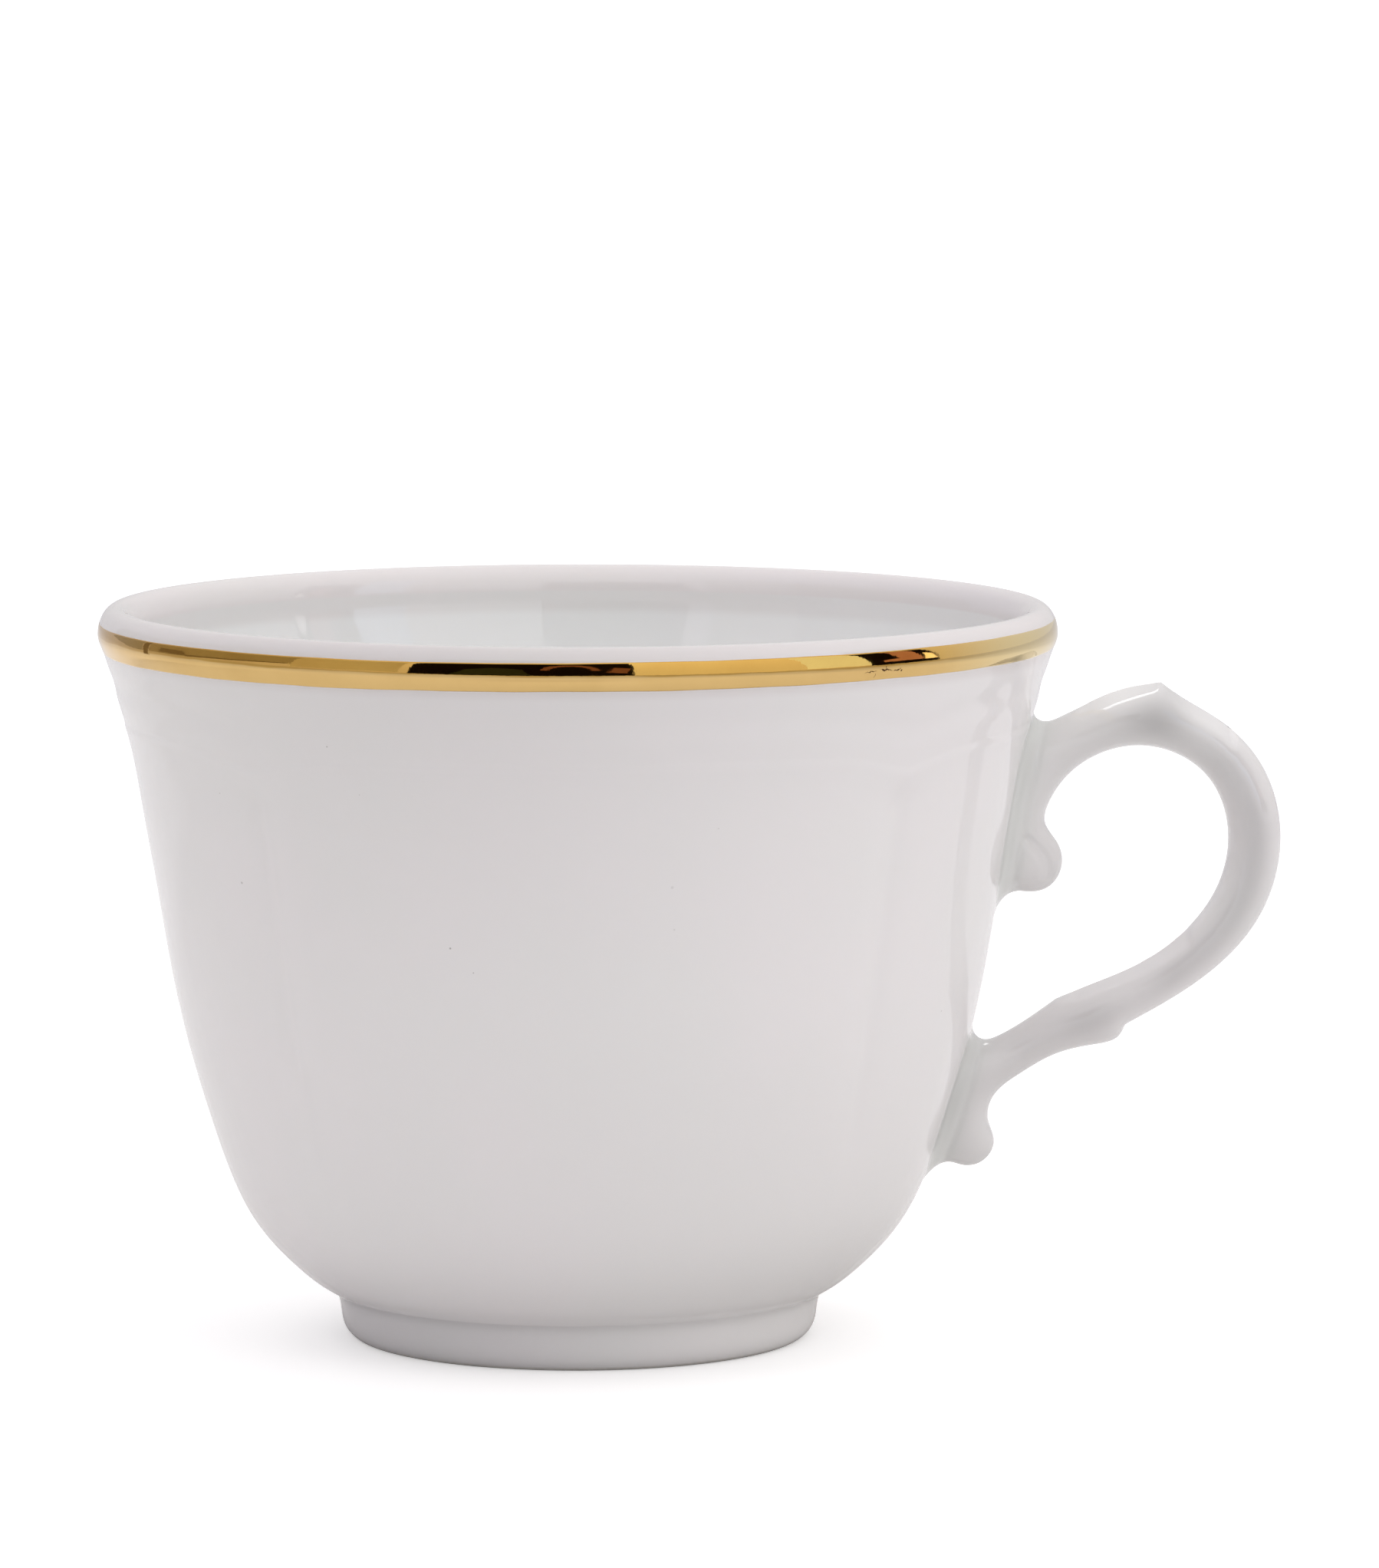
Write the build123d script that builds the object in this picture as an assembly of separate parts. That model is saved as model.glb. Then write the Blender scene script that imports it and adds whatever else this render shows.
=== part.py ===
from build123d import *
import os

# A porcelain teacup: flared bowl, foot ring, scroll handle luted on with slip, gilded lip.
# Millimetres. The origin is on the bowl's axis at the table, +Z is up, and the handle points along +X.

# ---- driving dimensions ----
RIM_RADIUS = 45.0            # widest ring of the lip, over the gilding
CUP_HEIGHT = 69.2            # table to the crest of the lip
LIP_HALF_WIDTH = 1.7         # half the lip's thickness
LIP_ROLL = 2.2               # height of the rounded part of the lip
LINE_HEIGHT = 58.3           # moulded line that parts the neck from the panels
LINE_STEP = 0.25             # how far the panels are set in below that line
LINE_RUN = 0.5               # height over which the step runs
FOOT_HEIGHT = 4.2            # table to the underside of the bowl
FOOT_TOP_RADIUS = 22.65
FOOT_BASE_RADIUS = 22.2
FOOT_EDGE_ROUND = 0.8        # outer lower edge of the foot
FOOT_LAND = 1.0              # width of the flat that touches the table
FOOT_TOP_WIDTH = 3.4         # thickness of the foot where it meets the bowl
FLOOR_THICKNESS = 3.6        # bowl floor at the axis
GILDING_TOP = 68.0
GILDING_BOTTOM = 65.3
GILDING_DEPTH = 0.25         # depth of the gold, flush with the glaze around it
HANDLE_HALF_WIDTH = 3.8      # half the handle's width across Y
HANDLE_EDGE_ROUND = 1.0      # rounding of the handle's long edges
SLIP_THICKNESS = 0.4         # layer of slip between a handle stem and the bowl
SLIP_OVERHANG = 0.6          # how far the slip squeezes out round a stem
SLIP_CORNER = 2.5            # rounding of the corners of a slip layer
UPPER_STEM = (41.6, 57.3)    # lowest and highest point where the upper stem meets the bowl
LOWER_STEM = (16.0, 27.6)    # the same for the lower stem

LINE_RADIUS = 42.55          # outside of the bowl at the moulded line, half way down the step
LIP_RADIUS = RIM_RADIUS - LIP_HALF_WIDTH
LIP_HEIGHT = CUP_HEIGHT - LIP_ROLL
FLOOR_HEIGHT = FOOT_HEIGHT + FLOOR_THICKNESS

# Outer wall between the foot and the moulded line, as (radius, height).
LOWER_WALL = [
    (FOOT_TOP_RADIUS, FOOT_HEIGHT),
    (25.2, 5.6),
    (29.0, 9.1),
    (33.1, 16.2),
    (36.6, 27.3),
    (39.55, 42.5),
    (LINE_RADIUS - LINE_STEP / 2, LINE_HEIGHT - LINE_RUN / 2),
]
# Outer wall from the moulded line up to the widest ring of the lip.
NECK_WALL = [
    (LINE_RADIUS + LINE_STEP / 2, LINE_HEIGHT + LINE_RUN / 2),
    (43.83, 62.7),
    (44.35, 64.5),
    (RIM_RADIUS, LIP_HEIGHT),
]
NECK_FLARE = (1, 3.6)        # direction in which the neck leaves the moulded line
# Inner wall from the lip down to the floor at the axis.
INNER_WALL = [
    (LIP_RADIUS - LIP_HALF_WIDTH, LIP_HEIGHT),
    (39.4, 57.0),
    (36.4, 42.5),
    (33.3, 27.5),
    (29.5, 17.0),
    (23.0, 10.6),
    (12.0, 8.1),
    (0.0, FLOOR_HEIGHT),
]
# The gold's hidden back face, a shallow arc parallel to the lip.
GILDING_BACK = [
    (44.62 - GILDING_DEPTH, GILDING_BOTTOM),
    (44.98 - GILDING_DEPTH, (GILDING_BOTTOM + GILDING_TOP) / 2),
    (44.81 - GILDING_DEPTH, GILDING_TOP),
]

# ---- handle outline, in the XZ plane, drawn as runs between its corners ----
# Every stem starts and ends inside the bowl, which then cuts it back.
TOP_EDGE = [(41.0, 57.3), (43.3, 57.65), (46.9, 59.2), (50.0, 60.7), (52.2, 61.35), (54.8, 61.7)]
OUTER_BACK = [
    (54.8, 61.7),
    (56.3, 60.6),
    (60.9, 57.7),
    (64.2, 54.1),
    (66.15, 47.2),
    (64.0, 39.2),
    (58.3, 33.3),
    (51.6, 29.3),
]
SPUR = [(51.6, 29.3), (50.9, 28.1), (49.4, 27.5)]
LOWER_EDGE = [
    (49.4, 27.5),
    (45.3, 26.6),
    (41.5, 24.5),
    (39.0, 22.2),
    (38.7, 20.2),
    (39.25, 18.2),
    (38.2, 16.3),
    (36.5, 15.85),
    (34.5, 16.35),
    (32.0, 15.6),
]
LOWER_NOTCH = [(36.0, 27.9), (38.4, 27.75), (40.6, 28.7), (45.0, 31.65)]
INNER_BACK = [
    (45.0, 31.65),
    (47.4, 32.7),
    (52.4, 34.8),
    (56.7, 37.7),
    (60.1, 42.1),
    (61.2, 47.3),
    (59.3, 52.7),
    (53.0, 55.75),
    (47.4, 54.1),
    (44.5, 50.8),
    (43.95, 48.5),
    (45.2, 46.4),
    (45.5, 44.2),
    (44.2, 42.3),
    (42.4, 41.9),
    (40.6, 42.05),
    (38.0, 41.0),
]


def lathe(face):
    """A solid of revolution about the cup's axis, from a face drawn as (radius, height)."""
    return revolve(Plane.XZ * face, axis=Axis.Z)


def outer_wall(outset=0.0):
    """The outside of the bowl, from the foot up to the widest ring, or the same line set out by a little."""
    lower = [(radius + outset, height) for radius, height in LOWER_WALL]
    neck = [(radius + outset, height) for radius, height in NECK_WALL]
    return Spline(*lower) + Line(lower[-1], neck[0]) + Spline(*neck, tangents=(NECK_FLARE, (0, 1)))


def bowl_section():
    """Half section of the thin-walled bowl with its rolled lip, gold included."""
    crest = (LIP_RADIUS, LIP_HEIGHT)
    lip = EllipticalCenterArc(crest, LIP_HALF_WIDTH, LIP_ROLL, 0, arc_size=180)
    inside = Spline(*INNER_WALL, tangents=((-0.12, -1), (-1, 0)))
    middle = Line((0, FLOOR_HEIGHT), (0, FOOT_HEIGHT))
    base = Line((0, FOOT_HEIGHT), LOWER_WALL[0])
    return make_face(outer_wall() + lip + inside + middle + base)


def gilding_section():
    """Half section of the gold band: the skin of the lip between two heights."""
    beyond = RIM_RADIUS + 1
    back = ThreePointArc(*GILDING_BACK)
    top = Line(GILDING_BACK[-1], (beyond, GILDING_TOP))
    outside = Line((beyond, GILDING_TOP), (beyond, GILDING_BOTTOM))
    bottom = Line((beyond, GILDING_BOTTOM), GILDING_BACK[0])
    return make_face(back + top + outside + bottom) & bowl_section()


def bowl_blank(outset=0.0):
    """The bowl filled solid, or a slightly larger copy of it: what the handle and the slip are cut back from."""
    top = Line((RIM_RADIUS + outset, LIP_HEIGHT), (0, LIP_HEIGHT))
    middle = Line((0, LIP_HEIGHT), (0, FOOT_HEIGHT))
    base = Line((0, FOOT_HEIGHT), (FOOT_TOP_RADIUS + outset, FOOT_HEIGHT))
    return lathe(make_face(outer_wall(outset) + top + middle + base))


def foot_section():
    """Half section of the foot, with a rounded outer edge and a flat bare land on the table."""
    land_outer = FOOT_BASE_RADIUS - FOOT_EDGE_ROUND
    land_inner = land_outer - FOOT_LAND
    top_inner = FOOT_TOP_RADIUS - FOOT_TOP_WIDTH
    land = Line((land_inner, 0), (land_outer, 0))
    edge = CenterArc((land_outer, FOOT_EDGE_ROUND), FOOT_EDGE_ROUND, -90, 90)
    side = Line((FOOT_BASE_RADIUS, FOOT_EDGE_ROUND), (FOOT_TOP_RADIUS, FOOT_HEIGHT))
    top = Line((FOOT_TOP_RADIUS, FOOT_HEIGHT), (top_inner, FOOT_HEIGHT))
    inner = Line((top_inner, FOOT_HEIGHT), (land_inner, 0))
    return make_face(land + edge + side + top + inner)


def handle_profile():
    """The handle's side view as one face: the outside line, then the finger gap."""
    outside = Spline(*TOP_EDGE) + Spline(*OUTER_BACK) + Spline(*SPUR) + Spline(*LOWER_EDGE)
    lower_root = Line(LOWER_EDGE[-1], LOWER_NOTCH[0])
    inside = Spline(*LOWER_NOTCH) + Spline(*INNER_BACK)
    upper_root = Line(INNER_BACK[-1], TOP_EDGE[0])
    return make_face(outside + lower_root + inside + upper_root)


def handle_blank():
    """The handle with its stems still running into the bowl."""
    plate = extrude(Plane.XZ * handle_profile(), amount=HANDLE_HALF_WIDTH, both=True)
    flanks = plate.faces().sort_by(Axis.Y)
    return fillet(flanks[0].edges() + flanks[-1].edges(), HANDLE_EDGE_ROUND)


def slip_pad(low, high):
    """The layer of slip under one stem, following the bowl between two heights."""
    length = high - low + 2 * SLIP_OVERHANG
    width = 2 * (HANDLE_HALF_WIDTH + SLIP_OVERHANG)
    outline = Plane.YZ * Pos(0, (low + high) / 2) * RectangleRounded(width, length, SLIP_CORNER)
    layer = bowl_blank(SLIP_THICKNESS) - bowl_blank()
    return extrude(outline, amount=RIM_RADIUS + 1) & layer


parts = {
    "bowl": lathe(bowl_section() - gilding_section()),
    "rim_gilding": lathe(gilding_section()),
    "foot_ring": lathe(foot_section()),
    "handle": handle_blank() - bowl_blank(SLIP_THICKNESS),
    "upper_slip_joint": slip_pad(*UPPER_STEM),
    "lower_slip_joint": slip_pad(*LOWER_STEM),
}

os.makedirs("parts", exist_ok=True)
for name, shape in parts.items():
    export_step(shape, f"parts/{name}.step")
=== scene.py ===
import math

import bpy
import numpy as np
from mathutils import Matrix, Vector
from mathutils.geometry import delaunay_2d_cdt


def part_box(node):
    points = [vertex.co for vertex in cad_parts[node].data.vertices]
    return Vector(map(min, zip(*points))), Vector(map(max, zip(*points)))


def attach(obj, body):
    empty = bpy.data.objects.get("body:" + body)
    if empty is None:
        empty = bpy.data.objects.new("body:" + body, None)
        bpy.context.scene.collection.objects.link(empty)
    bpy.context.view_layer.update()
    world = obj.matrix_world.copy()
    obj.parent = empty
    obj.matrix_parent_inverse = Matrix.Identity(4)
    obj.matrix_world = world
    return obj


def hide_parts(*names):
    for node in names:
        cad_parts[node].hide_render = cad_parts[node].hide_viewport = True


# A white porcelain teacup with a gilded lip. The shape code below works in millimetres in the part's own
# frame: origin on the bowl's axis at the table, +Z up, handle along +X. make_piece turns them into metres.

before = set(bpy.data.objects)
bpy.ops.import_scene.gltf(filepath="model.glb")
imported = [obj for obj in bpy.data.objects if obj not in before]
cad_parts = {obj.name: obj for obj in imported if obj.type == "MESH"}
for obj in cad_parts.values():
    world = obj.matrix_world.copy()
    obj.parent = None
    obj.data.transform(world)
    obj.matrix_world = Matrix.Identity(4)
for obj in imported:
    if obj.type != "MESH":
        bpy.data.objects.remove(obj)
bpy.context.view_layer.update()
MM = 0.001

# ---- driving dimensions, mm ----
CUP_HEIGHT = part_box("bowl")[1][2] / MM         # crest of the lip
RIM_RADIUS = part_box("rim_gilding")[1][0] / MM  # widest ring of the lip
FOOT_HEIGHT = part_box("foot_ring")[1][2] / MM   # where the bowl starts
FOOT_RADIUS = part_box("foot_ring")[1][0] / MM
LIP_HALF_WIDTH = 1.7
WIDEST_HEIGHT = 66.6        # height of the widest ring
FLOOR_HEIGHT = 7.8          # inside floor at the axis
DOME_RISE = 0.5             # how far the underside is domed up inside the foot
COLUMNS = 900               # steps round the bowl
ANGLES = np.arange(COLUMNS) * 2 * np.pi / COLUMNS

LINE_HEIGHT = 58.3          # moulded line between the neck and the four panels
LINE_STEP = -0.10           # how far the neck stands out from the panels: it is set in
LINE_RUN = 0.9              # height over which it goes in
CUSP_DROP = 1.7             # the line dips this far at each valley between two panels
CUSP_WIDTH = 4.5
CUSP_ROUND = 1.2            # and is rounded at the bottom of the dip
SOFT_RISE = 3.9             # second, softer moulding above the line
SOFT_DEPTH = 0.18
SOFT_WIDTH = 0.9
VALLEY_DEPTH = 0.36         # valleys that part the panels
VALLEY_WIDTH = 1.1
FLANK_DEPTH = 0.25          # and their wide flanks
FLANK_WIDTH = 3.4
VALLEY_START = 12.0         # they come out of the wall from this height
VALLEY_FULL = 34.0          # up to this one
VALLEY_END = 3.5            # and run out again over this height below the line

GOLD_BOTTOM = 65.3
GOLD_TOP = 67.9
GOLD_TILT = 0.28            # the band was brushed on this much higher towards the handle
GOLD_TOP_TILT = 0.7         # share of that tilt at the band's upper edge
GOLD_WAVES = ((0.02, 7, 1.0), (0.015, 19, 0.0), (0.01, 43, 2.0))   # size, count and start of its edges' waves
GOLD_TOP_WAVES = 0.6        # share of those waves at the upper edge
GOLD_TOP_TURN = 160         # where they are moved round by so many columns
GOLD_ROWS = 26
GOLD_PROUD = 0.01           # fired gold stands this much above the glaze
GOLD_BACK = 0.12            # depth of the hidden back of the band

STEM_FILLET = 2.3           # glaze that fills the corner between the handle and the bowl
CORNER_SHADE_REACH = 1.3 * STEM_FILLET   # painted corner shade, darker and greener, reaches up to this distance from the bowl
SINK = 0.4                  # past its edge the fillet runs on under the bowl's surface, down to half of this
SINK_RUN = 5.0              # and sideways by this many times as much
SKIN_GAP = 0.002            # the fillet's edge lies this far under the bowl's surface

# Outer wall of the panels from the foot to the widest ring, as (radius, height). Above the moulded line
# the neck's step comes on top, so the last points are moved the other way by it.
OUTER_WALL = [
    (FOOT_RADIUS + 0.1, FOOT_HEIGHT),
    (25.11, 5.57),
    (26.93, 7.08),
    (28.96, 9.11),
    (31.19, 12.14),
    (33.06, 16.19),
    (34.79, 21.25),
    (36.57, 27.32),
    (38.19, 34.41),
    (39.57, 42.5),
    (40.98, 50.6),
    (42.28, 57.2),
    (43.87 - LINE_STEP, 62.74),
    (44.62 - LINE_STEP, 65.3),
    (RIM_RADIUS - LINE_STEP, WIDEST_HEIGHT),
]
# Inner wall from the lip down to the floor at the axis.
INNER_WALL = [
    (RIM_RADIUS - 2 * LIP_HALF_WIDTH, WIDEST_HEIGHT),
    (39.4, 57.0),
    (36.4, 42.5),
    (33.3, 27.5),
    (29.5, 17.0),
    (23.0, 10.6),
    (12.0, 8.1),
    (0.4, FLOOR_HEIGHT),
]
# The underside inside the foot, from the axis outwards.
UNDERSIDE = [(0.4, FOOT_HEIGHT + DOME_RISE), (12.0, FOOT_HEIGHT + 0.35), (21.5, FOOT_HEIGHT)]
# Rings up the outer wall, closest where the relief is, as (from, to, step).
WALL_RINGS = (
    (FOOT_HEIGHT, 12.0, 0.45),
    (12.0, 53.0, 0.8),
    (53.0, 60.5, 0.13),
    (60.5, WIDEST_HEIGHT, 0.22),
)
LIP_STEPS = 36
PAINTED_LIGHT_INSIDE_RUN = (12.0, 36.0)     # painted light: the inside is painted paler over these x, towards the handle

# Foot ring, down the outside, over the land, up the inside and over its hidden top inside the wall.
FOOT_OUTSIDE = [
    (24.9, 5.55),
    (24.0, 4.95),
    (23.3, 4.45),
    (22.85, 3.95),
    (22.65, 3.4),
    (22.5, 2.5),
    (22.3, 1.4),
    (21.95, 0.7),
    (21.5, 0.25),
]
FOOT_LAND = [(21.15, 0.06), (20.85, 0.01), (20.6, 0.01), (20.35, 0.06)]
FOOT_INSIDE = [(20.0, 0.25), (19.5, 1.2), (19.2, 2.6), (18.8, 3.8), (17.9, 4.5), (16.6, 4.9)]
FOOT_TOP = [(19.0, 5.6), (22.5, 5.6)]

# ---- handle outline in the XZ plane, runs between its corners ----
ROOT_UPPER = [(38.0, 41.2), (38.9, 46.0), (39.8, 51.0), (41.0, 57.2)]
TOP_EDGE = [(41.0, 57.2), (43.3, 57.65), (46.9, 59.2), (50.0, 60.7), (52.2, 61.35), (54.8, 61.7)]
OUTER_BACK = [
    (54.8, 61.7),
    (56.3, 60.6),
    (60.9, 57.7),
    (64.2, 54.1),
    (66.15, 47.2),
    (64.0, 39.2),
    (58.3, 33.3),
    (51.6, 29.3),
]
SPUR = [(51.6, 29.3), (50.9, 28.1), (49.4, 27.5)]
LOWER_EDGE = [
    (49.4, 27.5),
    (45.3, 26.6),
    (41.5, 24.5),
    (39.0, 22.2),
    (38.7, 20.2),
    (39.25, 18.2),
    (38.2, 16.3),
    (36.5, 15.85),
    (34.5, 16.35),
    (32.0, 15.6),
]
ROOT_LOWER = [(32.0, 15.6), (33.2, 21.0), (34.6, 27.9)]
LOWER_NOTCH = [(34.6, 27.9), (38.4, 27.75), (40.6, 28.7), (45.0, 31.65)]
INNER_BACK = [
    (45.0, 31.65),
    (47.4, 32.7),
    (52.4, 34.8),
    (56.7, 37.7),
    (60.1, 42.1),
    (61.2, 47.3),
    (59.3, 52.7),
    (53.0, 55.75),
    (47.4, 54.1),
    (44.5, 50.8),
    (43.95, 48.5),
    (45.2, 46.4),
    (45.5, 44.2),
    (44.2, 42.3),
    (42.4, 41.9),
    (40.6, 42.05),
    (38.0, 41.2),
]
# How much the outline is blown up across Y at some places, as (x, z, swell).
SWELL = [
    (40.5, 55.0, 1.5),
    (42.0, 49.0, 1.5),
    (42.5, 44.5, 1.3),
    (48.0, 57.0, 2.0),
    (53.0, 59.0, 2.45),
    (58.0, 56.5, 2.1),
    (63.5, 50.0, 1.95),
    (62.5, 42.0, 1.95),
    (55.0, 33.5, 1.95),
    (48.0, 29.5, 2.0),
    (41.0, 26.0, 1.65),
    (36.5, 21.0, 1.45),
    (36.5, 18.0, 1.35),
]
SWELL_REACH = 3.2
# The curl's groove on the upper stem.
SCROLL = [(42.2, 47.3), (43.5, 45.9), (44.15, 44.4), (43.7, 42.95), (42.5, 42.6), (41.4, 42.75)]
SCROLL_DEPTH = 0.5
SCROLL_WIDTH = 0.36
SEAM_GAP = 1.15             # a faint groove in the glaze follows each stem this far from the bowl
SEAM_DEPTH = 0.32
SEAM_WIDTH = 0.32

# Flat facets along the handle's edges: the edge's points, the places along x where the facet runs, how deep
# below the outline its lower edge lies there, the arm's half-width and half-thickness and how soft that
# lower edge is.
FACETS = [
    (TOP_EDGE, (46.0, 48.2, 51.7, 53.8, 54.8), (0.95, 0.9, 0.73, 0.55, 0.40), 4.3, 2.6, 0.22),
    (OUTER_BACK[:4], (54.8, 57.5, 62.0), (0.3, 0.8, 0.9), 3.9, 2.6, 0.5),
    (INNER_BACK[:5], (45.2, 48.0, 54.0, 58.0), (0.55, 0.65, 0.85, 1.2), 3.3, 2.4, 0.15),
]
FACET_START = 2.0           # a facet comes in over this length
FACET_FADE = 0.8            # and goes out over this one
FACET_REACH = 3.0           # and counts up to so many half-widths or half-thicknesses away

# Painted shade on the handle beside the bowl's tone: porcelain lets some light through where it is thin, so
# the arm is painted deeper in tone along its thick middle, and also round the thumb rest's tip and in the
# lower stem.
PAINTED_SHADE_THIN = 0.885           # painted tone where it is thin: the whole handle is painted this much darker than the bowl
PAINTED_SHADE_CORE = 0.22            # how much deeper it is along the middle of the arm
CORE_POWER = 6              # how narrow that middle is
CORE_OUT = (41.0, 57.0)     # it comes in over these x
CORE_ROOT = (36.0, 39.0)    # a share of it already over these x
CORE_ROOT_SHARE = 0.35
CORE_DOWN = (42.0, 34.0)    # and another share downwards over these heights
CORE_DOWN_SHARE = 0.85
PAINTED_SHADE_TIP = 0.14             # how much deeper it is round the thumb rest's tip
TIP_PLACE = (55.0, 59.8)
TIP_REACH = 2.2
PAINTED_SHADE_STEM = 0.06            # and in the lower stem
STEM_PLACE = (40.0, 25.0)
STEM_REACH = 5.5

# ---- the handle's mesh ----
MESH_STEP = 0.2             # spacing of its points
NET_RISE = 0.866            # height of its rows as a share of that
EDGE_STEPS = (0.012, 0.05, 0.11, 0.2, 0.31)   # distances of the rows of points just inside its outline
EDGE_CLEAR = 0.93           # a row's points go where the outline is nearer than this share of its distance
FACET_STEP = 0.12           # spacing of the points along a facet's lower edge
FACET_ROWS = (-0.16, -0.05, 0.05, 0.16)       # distances of the rows of points from that edge
BOWL_STEP = 0.15            # spacing of the points across the stems, along the bowl
BOWL_ROWS = (-0.35, -0.2, -0.08, 0.0, 0.02, 0.05, 0.09, 0.14, 0.2, 0.28, 0.38, 0.5, 0.65, 0.82, 1.0)
STEM_HEIGHTS = (15.0, 60.0)
ROW_CLEAR = 0.1             # rows keep this far from the outline, and the net from the bowl's rows
SIDE_PROBE = 0.3            # how far aside of an edge inside is tried
SOLVER_ROUNDS = 4000        # limits for the solver in inflate
SOLVER_END = 1e-14
FLARE_FACING = 0.5          # skin that faces this far aside flares fully onto the bowl


# ---- curves and meshes ----
def spline(points, step=0.1, ends=(None, None)):
    """Evenly stepped points on a smooth curve through the given ones. ends may give the direction at either
    end."""
    p = np.array(points, float)
    n = len(p)
    h = np.linalg.norm(np.diff(p, axis=0), axis=1)
    slope = np.diff(p, axis=0) / h[:, None]
    matrix, right = np.zeros((n, n)), np.zeros((n, 2))
    for i in range(1, n - 1):
        matrix[i, i - 1 : i + 2] = h[i], 2 * (h[i - 1] + h[i]), h[i - 1]
        right[i] = 3 * (h[i] * slope[i - 1] + h[i - 1] * slope[i])
    for i, j, k in ((0, 1, 0), (n - 1, n - 2, -1)):
        matrix[i, i] = 2.0
        if ends[k] is None:
            matrix[i, j] = 1.0
            right[i] = 3 * slope[k]
        else:
            right[i] = 2 * np.array(ends[k], float) / np.hypot(*ends[k])
    tangent = np.linalg.solve(matrix, right)
    out = []
    for i in range(n - 1):
        t = np.linspace(0, 1, max(int(round(h[i] / step)), 1) + 1)[:-1, None]
        out.append(
            (2 * t**3 - 3 * t**2 + 1) * p[i]
            + (t**3 - 2 * t**2 + t) * h[i] * tangent[i]
            + (3 * t**2 - 2 * t**3) * p[i + 1]
            + (t**3 - t**2) * h[i] * tangent[i + 1]
        )
    return np.vstack(out + [p[-1:]])


def smooth(x):
    """0 below 0, 1 above 1 and a soft step between."""
    x = np.clip(x, 0.0, 1.0)
    return x * x * (3 - 2 * x)


def ramp(x, start, end):
    """0 before the start, 1 past the end and a soft step between."""
    return smooth((x - start) / (end - start))


def bell(x, width):
    return np.exp(-((x / width) ** 2) / 2)


def make_piece(name, vertices, faces, material):
    """An object from points in mm and faces, smooth shaded."""
    mesh = bpy.data.meshes.new(name)
    mesh.from_pydata((np.asarray(vertices) * MM).tolist(), [], faces)
    mesh.polygons.foreach_set("use_smooth", np.ones(len(mesh.polygons), bool))
    mesh.materials.append(material)
    mesh.update()
    piece = bpy.data.objects.new(name, mesh)
    bpy.context.scene.collection.objects.link(piece)
    return piece


def add_layer(piece, name, values):
    """Stores a value at each of the mesh's points for the materials."""
    attribute = piece.data.attributes.new(name, "FLOAT", "POINT")
    attribute.data.foreach_set("value", np.asarray(values, np.float32))


def turned(profile):
    """The radii and the heights of plain rings at the (radius, height) points of a profile."""
    return np.repeat(profile[:, :1], COLUMNS, 1), np.repeat(profile[:, 1:], COLUMNS, 1)


def rings_to_mesh(radius, height, closed=False):
    """Points and quads of rings stacked round the axis. radius and height are (rings, columns) arrays."""
    rows = len(radius)
    points = np.stack([radius * np.cos(ANGLES), radius * np.sin(ANGLES), height], axis=-1).reshape(-1, 3)
    last = rows if closed else rows - 1
    i, j = np.meshgrid(np.arange(last), np.arange(COLUMNS), indexing="ij")
    above, beside = (i + 1) % rows, (j + 1) % COLUMNS
    corners = [(i, j), (i, beside), (above, beside), (above, j)]
    quads = np.stack([ring * COLUMNS + column for ring, column in corners], axis=-1)
    return points, quads.reshape(-1, 4).tolist()


def add_pole(points, faces, ring, height, up):
    """Closes a ring with a fan to a point on the axis."""
    pole = len(points)
    points = np.vstack([points, [0, 0, height]])
    for j in range(COLUMNS):
        a, b = ring * COLUMNS + j, ring * COLUMNS + (j + 1) % COLUMNS
        faces.append([a, b, pole] if up else [b, a, pole])
    return points, faces


# ---- the bowl's surface ----
WALL = spline(OUTER_WALL, 0.1, (None, (0, 1)))


def panel_radius(z):
    return np.interp(z, WALL[:, 1], WALL[:, 0])


def relief(angle, z):
    """How far the outer wall stands out from the plain panels, by angle round the axis and height."""
    quarter = np.pi / 2
    from_valley = np.abs(np.mod(angle, quarter) - quarter / 2) * panel_radius(z)
    dip = CUSP_DROP * np.exp((CUSP_ROUND - np.hypot(from_valley, CUSP_ROUND)) / CUSP_WIDTH)
    over_line = z - (LINE_HEIGHT - dip)
    neck = LINE_STEP * smooth(over_line / LINE_RUN + 0.5)
    soft = SOFT_DEPTH * bell(over_line - SOFT_RISE, SOFT_WIDTH)
    fade = ramp(z, VALLEY_START, VALLEY_FULL) * smooth(-over_line / VALLEY_END)
    valley = VALLEY_DEPTH * bell(from_valley, VALLEY_WIDTH) + FLANK_DEPTH * bell(from_valley, FLANK_WIDTH)
    return neck - soft - fade * valley


def outer_radius(angle, z):
    return panel_radius(z) + relief(angle, z)


def wall_heights():
    heights = [np.arange(low, high, step) for low, high, step in WALL_RINGS]
    return np.concatenate(heights + [[WIDEST_HEIGHT]])


def lip_arc():
    """Half ellipse over the lip from the widest ring to the inner wall, as (radius, height)."""
    turn = np.linspace(0, np.pi, LIP_STEPS)[1:-1]
    radius = RIM_RADIUS - LIP_HALF_WIDTH + LIP_HALF_WIDTH * np.cos(turn)
    height = WIDEST_HEIGHT + (CUP_HEIGHT - WIDEST_HEIGHT) * np.sin(turn)
    return np.stack([radius, height], axis=1)


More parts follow.
